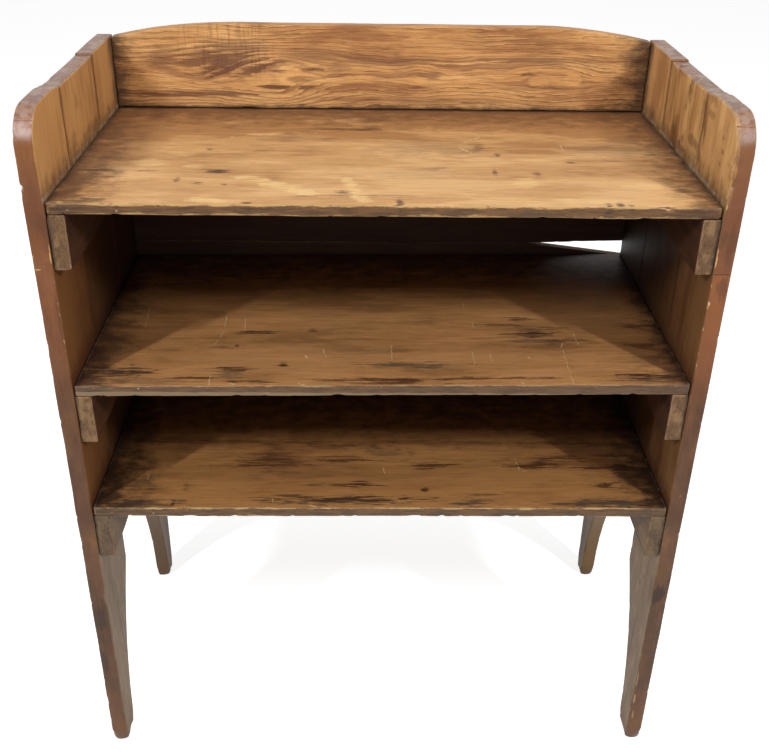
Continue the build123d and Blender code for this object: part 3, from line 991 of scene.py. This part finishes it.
def back_board_finish():
    """Old bare pine, raw and grey behind; the side that shows between the shelves is painted near-black
    brown as painted shade.
    """
    material, r, place = new_finish("back board pine")
    x, y, z = r.parts(place)
    board = r.join(x, z, y)
    rough = r.waver(board, (30, 45, 45), 5.0, 0.68)
    pine = r.use(
        old_pine_effect, Place=board, Pith=(4.0, 0.66, 0.28), Ring=5.5 * MM, Figure=0.45, Streaks=0.4,
        Lift=0.0, Light=rgb(176, 142, 104), Middle=rgb(150, 116, 82), Deep=rgb(104, 74, 50),
    )
    facing = r.normal()
    inside = r.fade(facing[1], -0.3, -0.8)
    # Painted shade: the face towards the bays is painted almost black.
    colour = r.mix(r.times(inside, 0.9), pine["Colour"], rgb(48, 27, 21))
    weather = r.ragged(r.noise(board, (5, 14, 14), 4.0, 0.6), rough, 0.3, 0.45, 0.62)
    colour = r.tint(colour, rgb(124, 110, 94), weather, r.minus(1.0, inside), 0.5)
    stringy = r.waver(board, (16, 260, 260), 4.0, 0.72)
    colour = r.tint(colour, rgb(82, 62, 46), r.fade(stringy, 0.04, 0.2), r.minus(1.0, inside), 0.5)
    near_nail = r.attribute("from_nail")
    iron_stain = r.ragged(near_nail, rough, 18 * MM, 12 * MM, 3 * MM)
    colour = r.tint(colour, near_black, iron_stain, 0.75)
    specks = r.use(specks_effect, Place=board)
    colour = r.tint(colour, dark_brown, specks["Dark"], 0.5)
    close_finish(r, colour, 0.7, pine["Height"], 0.4 * MM)
    return material


def nail_finish():
    """Hand-cut iron, dark with rust."""
    material, r, place = new_finish("cut nail iron")
    rust = r.fade(r.noise(place, (700, 700, 700), 4.0, 0.7), 0.4, 0.65)
    colour = r.mix(rust, rgb(54, 46, 42), rgb(104, 62, 40))
    close_finish(r, colour, r.plus(r.times(rust, 0.3), 0.5), rust, 0.2 * MM, metallic=0.6)
    return material


# Marks on the shelves, in millimetres from the middle of the shelf and from its front edge: knots
# as in round_knots, thin lines as both their ends and a width, and the others as in spread.
top_marks = {
    "pith": (0.4, 0.215, -0.09), "knots": ((-195, 110, 20),),
    "dark": (
        (-40, 286, 56, 6, 0.8), (-195, 110, 16, 7, 0.95), (-216, 195, 5, 5, 0.7), (-214, 69, 6, 5, 0.9),
        (-182, 65, 4, 3, 0.8), (-47, 42, 10, 5, 0.95), (-60, 32, 18, 3, 0.7), (15, 10, 4, 16, 0.85),
        (140, 182, 3, 8, 0.9), (130, 114, 3, 14, 0.7), (180, 107, 5, 9, 0.7), (227, 156, 6, 6, 0.7),
        (120, 212, 10, 14, 0.5), (-342, 110, 36, 5, 0.95), (-340, 110, 40, 2, 2.0),
        (-350, 74, 26, 30, 0.55), (-356, 22, 26, 24, 0.75), (-120, 262, 10, 6, 0.4),
        (340, 55, 12, 7, 0.6), (-8, 340, 26, 14, 0.4), (190, 340, 40, 5, 0.3), (-238, 80, 3, 8, 0.6),
        (-90, 28, 14, 2, 0.6), (0, 32, 26, 2, 0.5), (60, 125, 12, 5, 0.4), (243, 4, 4, 7, 0.8),
        (255, 6, 4, 8, 0.8), (267, 4, 3, 6, 0.7), (-150, 4, 5, 5, 0.8), (-148, 190, 14, 2, 0.5),
    ),
    "grey": (
        (62, 205, 66, 34, 0.32), (292, 208, 64, 34, 0.28), (-120, 240, 62, 12, 0.34),
        (0, 345, 26, 16, 0.3), (-342, 12, 30, 10, 0.6), (352, 350, 26, 26, 0.5), (-352, 250, 26, 14, 0.4),
        (40, 110, 60, 16, 0.16),
    ),
    "pale": (
        (-160, 88, 17, 9, 0.8), (-144, 78, 20, 10, 0.9), (-128, 68, 20, 10, 1.0), (-113, 57, 20, 10, 1.0),
        (-99, 46, 20, 10, 1.0), (-86, 37, 16, 8, 0.9), (-44, 82, 8, 13, 0.8), (-40, 64, 9, 14, 0.9),
        (-35, 47, 10, 14, 1.0), (-30, 30, 11, 14, 1.0), (-24, 15, 11, 11, 0.9), (160, 78, 20, 18, 0.6),
        (-200, 14, 26, 10, 0.9), (-352, 5, 6, 4, 0.9), (-226, 128, 16, 9, 0.6), (-280, 140, 30, 16, 0.5),
        (-150, 260, 24, 4, 0.7), (-245, 175, 22, 10, 0.4), (230, 20, 60, 10, 0.5), (300, 70, 30, 14, 0.5),
        (-340, 26, 26, 5, 0.6),
    ),
    "thin_pale_lines": (
        (125, 257, 103, 232, 1.3), (95, 210, 108, 188, 1.7), (-195, 252, -194, 243, 1.6),
        (225, 230, 225, 195, 0.8), (-228, 226, -218, 223, 1.6), (-172, 259, -130, 262, 1.2),
        (-88, 266, -80, 252, 1.0), (-240, 224, -222, 221, 1.0),
    ),
}
middle_marks = {
    "pith": (1.7, 0.13, -0.11), "knots": (),
    "dark": (
        (-158, 139, 28, 5, 0.85), (-214, 99, 22, 4, 0.5), (-185, 103, 4, 4, 0.9), (-307, 51, 5, 4, 0.95),
        (-122, 51, 5, 5, 0.95), (-185, 43, 24, 4, 0.85), (-220, 20, 22, 4, 0.9), (-160, 10, 30, 4, 0.85),
        (20, 14, 60, 5, 0.95), (110, 17, 100, 3, 0.85), (0, 7, 60, 4, 0.8), (178, 177, 22, 4, 0.85),
        (158, 160, 26, 6, 0.6), (192, 132, 30, 8, 0.85), (335, 155, 22, 6, 0.7), (340, 100, 28, 6, 0.75),
        (55, 19, 6, 4, 0.95), (-60, 14, 40, 3, 0.7), (-90, 146, 6, 4, 0.6), (240, 118, 20, 4, 0.6),
        (225, 150, 20, 4, 0.5), (-335, 32, 38, 9, 0.5), (-300, 33, 30, 6, 0.7), (320, 21, 48, 6, 0.85),
        (180, 330, 60, 6, 0.5), (-30, 120, 60, 3, 0.3),
    ),
    "grey": (
        (-330, 36, 44, 12, 0.9), (-352, 14, 30, 14, 0.8), (-280, 14, 60, 10, 0.4),
        (330, 18, 50, 11, 0.85), (36, 50, 50, 7, 0.75), (-188, 28, 18, 14, 0.6), (202, 112, 34, 10, 0.6),
        (196, 138, 22, 16, 0.5), (330, 60, 40, 18, 0.3), (-345, 110, 22, 30, 0.35),
    ),
    "pale": ((-100, 70, 170, 40, 0.35), (120, 60, 130, 36, 0.35), (-40, 160, 120, 30, 0.25)),
    "thin_pale_lines": (
        (-316, 217, -311, 157, 1.2), (-208, 202, -208, 155, 1.0), (-182, 182, -180, 146, 1.1),
        (12, 102, 11, 62, 1.1), (113, 85, 113, 52, 0.9), (135, 80, 135, 60, 1.1),
        (233, 118, 228, 95, 1.1), (250, 135, 250, 102, 1.1), (228, 90, 227, 5, 0.9),
        (-208, 25, -208, 3, 1.3), (-75, 92, -71, 72, 1.2), (113, 225, 113, 205, 0.9),
        (122, 170, 121, 152, 0.9), (-96, 74, -94, 70, 2.6), (180, 72, 183, 68, 2.2),
        (-205, 150, -214, 105, 0.7), (-100, 6, -95, 2, 2.4), (160, 8, 168, 5, 2.2),
        # The line from (-362, 286) to (-110, 327) is a painted streak of light across the back left of
        # the shelf, not a scratch.
        (-184, 8, -178, 4, 2.0), (-362, 286, -110, 327, 2.2),
    ),
}
bottom_marks = {
    "pith": (3.1, 0.15, -0.08), "knots": (),
    "dark": (
        (-36, 51, 18, 6, 0.95), (-44, 51, 50, 3, 0.7), (-120, 28, 18, 3, 0.85), (57, 39, 4, 4, 0.9),
        (-55, 108, 46, 4, 0.8), (-60, 116, 30, 3, 0.6), (72, 97, 28, 5, 0.85), (60, 88, 16, 3, 0.7),
        (205, 97, 34, 9, 0.9), (250, 116, 28, 6, 0.85), (320, 92, 46, 7, 0.85), (298, 51, 16, 6, 0.9),
        (25, 135, 6, 5, 0.8), (-267, 10, 3, 8, 0.85), (-255, 46, 5, 8, 0.5), (-150, 108, 38, 14, 0.7),
        (-160, 96, 50, 4, 0.8), (-180, 152, 120, 5, 0.5), (-60, 144, 50, 5, 0.7),
        (120, 152, 130, 5, 0.45), (300, 150, 70, 5, 0.6), (-50, 20, 80, 5, 0.85), (130, 30, 24, 3, 0.6),
        (330, 120, 40, 4, 0.7), (150, 108, 24, 3, 0.6), (-320, 40, 30, 3, 0.4),
    ),
    "grey": (
        (-52, 17, 86, 9, 0.9), (300, 12, 78, 9, 0.9), (122, 13, 30, 7, 0.85), (-318, 10, 60, 10, 0.8),
        (6, 128, 26, 12, 0.5), (-330, 60, 40, 20, 0.3), (335, 70, 34, 30, 0.35),
    ),
    "pale": ((-100, 60, 190, 26, 0.35), (100, 70, 160, 26, 0.3), (290, 30, 60, 10, 0.4)),
    "thin_pale_lines": (
        (185, 114, 187, 86, 1.2), (180, 96, 196, 82, 0.9), (-310, 76, -309, 62, 1.0), (3, 90, 5, 78, 1.0),
        (-92, 6, -84, 3, 2.4), (-140, 20, -139, 12, 1.2),
    ),
}

shelf_finishes = {
    "top": shelf_finish(
        "top",
        {
            "light": rgb(213, 167, 113), "middle": rgb(193, 145, 92), "deep": rgb(164, 116, 70),
            "pale": rgb(234, 197, 134), "dirt_and_shade": rgb(102, 67, 41), "edge": rgb(102, 70, 43),
            "edge_dark": rgb(60, 41, 29), "rubbed": rgb(192, 152, 94), "figure": 0.07, "fall": 0.20,
            "pale_marks": 0.8, "side_reach": 62 * MM, "back_reach": 120 * MM, "rub": 3.0,
        },
        top_marks,
    ),
    "middle": shelf_finish(
        "middle",
        {
            "light": rgb(176, 127, 80), "middle": rgb(162, 116, 71), "deep": rgb(136, 95, 56),
            "pale": rgb(184, 140, 92), "dirt_and_shade": rgb(66, 42, 31), "edge": rgb(98, 73, 52),
            "edge_dark": rgb(70, 52, 38), "rubbed": rgb(158, 127, 86), "figure": 0.06, "fall": 0.06,
            "pale_marks": 0.5, "side_reach": 38 * MM, "back_reach": 140 * MM, "rub": 1.3,
        },
        middle_marks,
    ),
    "bottom": shelf_finish(
        "bottom",
        {
            "light": rgb(159, 113, 66), "middle": rgb(146, 101, 58), "deep": rgb(118, 79, 46),
            "pale": rgb(168, 124, 76), "dirt_and_shade": rgb(38, 24, 18), "edge": rgb(106, 78, 52),
            "edge_dark": rgb(70, 52, 38), "rubbed": rgb(182, 150, 104), "figure": 0.08, "fall": 0.08,
            "pale_marks": 0.5, "side_reach": 66 * MM, "back_reach": 285 * MM, "rub": 1.6,
        },
        bottom_marks,
    ),
}

# Marks inside the ends, in millimetres up from the floor and back from the front edge.
end_marks = {
    ("left", "front"): ((560, 60, 40, 12, 0.3), (880, 100, 30, 6, 0.25)),
    ("left", "middle"): (
        (896, 180, 9, 9, 0.4), (860, 150, 10, 16, 0.35), (880, 240, 30, 8, 0.25), (852, 240, 8, 30, 0.4),
    ),
    ("left", "back"): ((880, 300, 30, 10, 0.15), (900, 375, 14, 14, 0.15)),
    ("right", "front"): (
        (900, 44, 3, 5, 0.5), (886, 40, 3, 4, 0.6), (872, 42, 3, 4, 0.5), (912, 96, 5, 16, 0.5),
        (890, 112, 24, 7, 0.6), (858, 113, 10, 6, 0.7), (880, 14, 3, 8, 0.3), (870, 60, 30, 4, 0.25),
        (289, 10, 22, 7, 0.75), (260, 57, 4, 3, 0.8), (278, 44, 4, 3, 0.7), (305, 86, 6, 3, 0.6),
        (930, 100, 8, 18, 0.5),
    ),
    ("right", "middle"): (
        (917, 185, 17, 9, 0.85), (896, 191, 6, 4, 0.5), (866, 150, 8, 24, 0.7), (857, 187, 6, 7, 0.6),
        (857, 228, 7, 9, 0.6), (846, 180, 5, 34, 0.5), (932, 225, 8, 34, 0.4), (905, 250, 18, 5, 0.4),
        (900, 130, 26, 5, 0.5),
    ),
    ("right", "back"): (
        (890, 294, 40, 4, 0.3), (870, 290, 16, 5, 0.2), (932, 320, 6, 30, 0.3), (850, 340, 6, 40, 0.2),
    ),
}


# ---- Boards ---------------------------------------------------------------------------------
def worn_front(amount):
    """Makes the front arrises of a board rounder than the others."""

    def share(points, size):
        uneven = 0.6 + 0.8 * bumps(points, 50 * MM, 77)
        return 1 + (amount - 1) * fade(points[:, 1], 9 * MM, 3 * MM) * uneven

    return share


def worn_foot(amount):
    """Rounds the foot of a leg, and its front arrises a little."""

    def share(points, size):
        front = 1 + (amount - 1) * fade(points[:, 1], 9 * MM, 3 * MM)
        return front * (1 + 4.2 * fade(points[:, 2], 26 * MM, 5 * MM))

    return share


def edge_chips(name, count, seed):
    """Random chips along the upper front arris of a shelf."""
    random = np.random.default_rng(seed)
    low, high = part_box(f"{name}_shelf")
    chips = []
    for _ in range(count):
        reach = random.uniform(3, 8) * MM
        z = high.z if random.random() < 0.85 else low.z
        chips.append(((random.uniform(low.x, high.x), low.y, z), reach, random.uniform(0.6, 1.5) * MM))
    return chips


for number, (name, chip_count) in enumerate({"top": 26, "middle": 12, "bottom": 16}.items()):
    make_board(
        f"{name}_shelf", shelf_finishes[name],
        reshape=shape_middle_shelf if name == "middle" else None, steps=(4, 8, 5),
        wear=worn_front(1.9 if name == "top" else 1.5), arris=1.3,
        chips=edge_chips(name, chip_count, 400 + number), seed=10 * number + 11,
    )

piths = {
    ("left", "front"): (0.2, 0.10, 0.09), ("left", "middle"): (1.3, 0.19, 0.07),
    ("left", "back"): (2.7, 0.36, 0.10), ("right", "front"): (3.6, 0.02, 0.08),
    ("right", "middle"): (4.4, 0.21, 0.06), ("right", "back"): (5.8, 0.33, 0.09),
}
contrasts = dict(zip(piths, (0.0, 0.25, 0.0, 0.8, 1.0, 0.4)))
shapes = {"front": shape_front_board, "middle": None, "back": shape_back_board}
end_chips = {
    ("right", "middle"): (
        ((0.368, 0.044, 0.930), 9 * MM, 4.5 * MM), ((0.368, -0.02, 0.930), 12 * MM, 3 * MM),
    ),
    ("right", "front"): (
        ((0.368, -0.207, 0.885), 10 * MM, 3 * MM), ((0.368, -0.207, 0.862), 12 * MM, 3.5 * MM),
    ),
    ("left", "front"): (((-0.390, -0.207, 0.852), 5 * MM, 2.5 * MM),),
}
for number, ((side, name), pith) in enumerate(piths.items()):
    make_board(
        f"{side}_{name}_board",
        end_finish(side, name, pith, end_marks[side, name], contrasts[side, name]), reshape=shapes[name],
        steps=(6, 5, 5), arris=1.7, nails=end_nails, seed=10 * number + 51,
        wear=worn_foot(1.4 if name == "front" else 1.0) if name != "middle" else None,
        chips=end_chips.get((side, name), ()),
    )

cleat_pine = cleat_finish()
for number, (side, name) in enumerate(itertools.product(("left", "right"), ("top", "middle", "bottom"))):
    make_board(
        f"{side}_{name}_cleat", cleat_pine, arris=2.2, steps=(4, 6, 4),
        seed=10 * number + 131,
    )

make_board(
    "backsplash", backsplash_finish(), reshape=shape_backsplash, steps=(4, 5, 4),
    arris=1.8, seed=211,
)

back_pine = back_board_finish()
back_boards = {"upper_back_board": shape_upper_back_board, "lower_back_board": shape_lower_back_board}
for node, reshape in back_boards.items():
    make_board(
        node, back_pine, reshape=reshape, nails=cover_nails, nail_axis=1,
        seed=len(node) + 221,
    )

iron = nail_finish()
for node in ("shelf_nails", "cleat_nails", "backsplash_nails", "back_nails"):
    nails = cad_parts[node]
    nails.data.materials.clear()
    nails.data.materials.append(iron)


# ---- Floor, light and camera ----------------------------------------------------------------
def seen_directly(r):
    """1 for what the camera sees, itself or in a reflection or through glass, and 0 otherwise."""
    path = r.node("LightPath", {}).outputs
    return r.most(path["Is Camera Ray"], path["Is Glossy Ray"], path["Is Transmission Ray"])


def make_floor(glow):
    half = 10.0
    mesh = bpy.data.meshes.new("floor")
    mesh.from_pydata(
        [(-half, -half, 0), (half, -half, 0), (half, half, 0), (-half, half, 0)], [], [(0, 1, 2, 3)],
    )
    floor = bpy.data.objects.new("floor", mesh)
    scene.collection.objects.link(floor)
    material = bpy.data.materials.new("pale floor")
    material.use_nodes = True
    material.node_tree.nodes.clear()
    r = Recipe(material.node_tree)
    lit = r.node("BsdfDiffuse", {"Color": (0.8, 0.8, 0.8, 1)}).outputs[0]
    level = r.times(seen_directly(r), glow)
    shine = r.node("Emission", {"Color": (1, 1, 1, 1), "Strength": level}).outputs[0]
    both = r.node("AddShader", {0: lit, 1: shine}).outputs[0]
    r.node("OutputMaterial", {"Surface": both})
    mesh.materials.append(material)


def make_sky(strength):
    """Even light from all round, and plain white where the camera or a reflection sees it."""
    world = bpy.data.worlds.new("studio")
    scene.world = world
    world.use_nodes = True
    world.node_tree.nodes.clear()
    r = Recipe(world.node_tree)
    level = r.plus(strength, r.times(seen_directly(r), 1 - strength))
    sky = r.node("Background", {"Color": (1, 1, 1, 1), "Strength": level})
    r.node("OutputWorld", {"Surface": sky.outputs[0]})


def make_lamp(name, azimuth, elevation, distance, width, height, power):
    """A flat lamp that looks at the middle of the bench. Azimuth 0 is in front of it."""
    turn = math.radians(azimuth)
    rise = math.radians(elevation)
    aim = np.array([0, 0, 0.6])
    away = np.array([math.sin(turn) * math.cos(rise), -math.cos(turn) * math.cos(rise), math.sin(rise)])
    light = bpy.data.lights.new(name, "AREA")
    light.shape = "RECTANGLE"
    light.size = width
    light.size_y = height
    light.energy = power
    lamp = bpy.data.objects.new(name, light)
    turned = Matrix.Translation(aim + away * distance) @ Matrix.Rotation(turn, 4, "Z")
    lamp.matrix_world = turned @ Matrix.Rotation(math.pi / 2 - rise, 4, "X")
    scene.collection.objects.link(lamp)


def make_camera():
    """A view from standing height, a little left of the middle, looking down at the bench."""
    look_down = math.radians(29.85)
    turn_right = math.radians(1.363)
    roll = math.radians(0.917)
    data = bpy.data.cameras.new("camera")
    focal_share = 1022.1 / 769
    data.sensor_width = 36
    data.lens = data.sensor_width * focal_share
    camera = bpy.data.objects.new("camera", data)
    turned = Matrix.Rotation(-turn_right, 4, "Z") @ Matrix.Rotation(math.pi / 2 - look_down, 4, "X")
    place = Matrix.Translation((-0.024, -1.2549, 1.2232))
    camera.matrix_world = place @ turned @ Matrix.Rotation(roll, 4, "Z")
    scene.collection.objects.link(camera)
    scene.camera = camera


make_floor(glow=0.78)
make_sky(strength=0.2)
for side, azimuth in (("left", -40), ("right", 40)):
    make_lamp(f"{side} lamp", azimuth, elevation=36, distance=3.0, width=0.09, height=0.5, power=39)
make_lamp("overhead lamp", 0, elevation=80, distance=2.6, width=1.6, height=1.6, power=22)
make_camera()
scene.view_settings.view_transform = "Standard"
